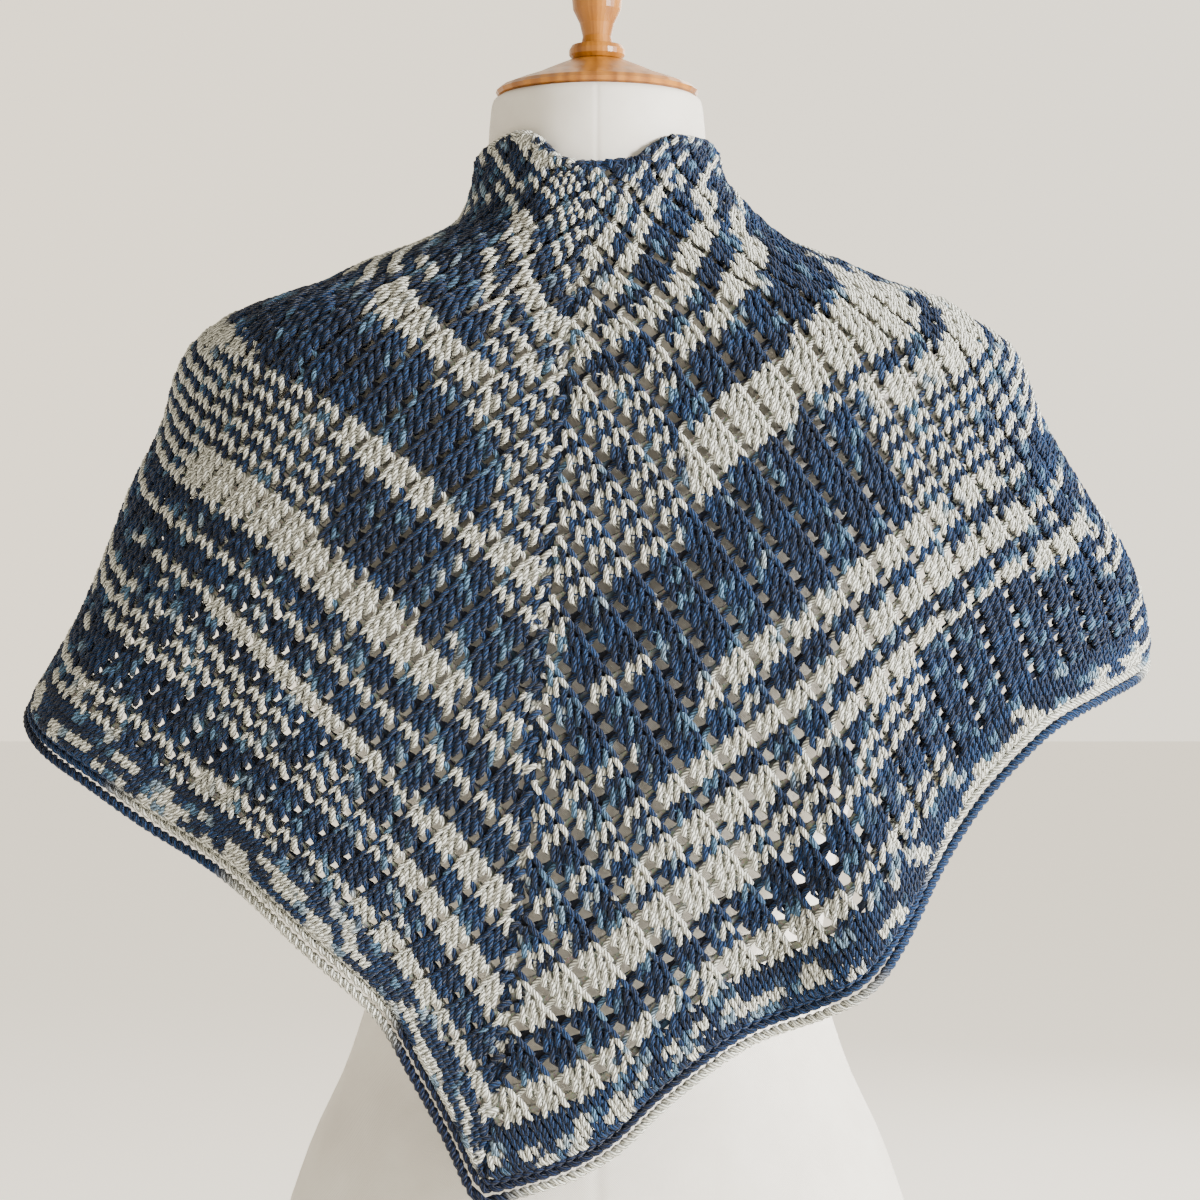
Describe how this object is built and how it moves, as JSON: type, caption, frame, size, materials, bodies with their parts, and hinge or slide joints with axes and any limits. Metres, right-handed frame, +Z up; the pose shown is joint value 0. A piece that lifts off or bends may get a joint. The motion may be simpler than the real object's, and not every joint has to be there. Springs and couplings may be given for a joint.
{
  "type": "triangle shawl on a dress form",
  "caption": "Triangular shawl knitted in an open mesh with chevron rows, worn over the shoulders of a limbless dress form on a short round-based stand.",
  "frame": {"origin": "centre of the round base's underside, on the surface that the dress form stands on", "axes": "+Z up; the back of the shawl, with its point, faces -Y; +X is the right-hand side of someone looking at that back"},
  "size_m": [0.5634, 0.28, 1.002],
  "materials": {
    "knit": "soft wool yarn dyed in denim blue, pale blue and cream lengths, matte with a slight sheen",
    "knit_edge": "the same yarn, in a rolled chain of V stitches",
    "form_cover": "smooth off-white jersey stretched over the form",
    "wood": "honey-coloured turned beech under satin varnish"
  },
  "bodies": {
    "root": {"shawl_left_half": "knit", "shawl_right_half": "knit", "spine_column": "knit", "neck_tab": "knit", "bind_off_edge": "knit_edge", "neck_edge": "knit_edge", "form_torso": "form_cover", "neck_cap": "wood", "finial": "wood", "pole": "wood", "base": "wood"}
  },
  "joints": []
}
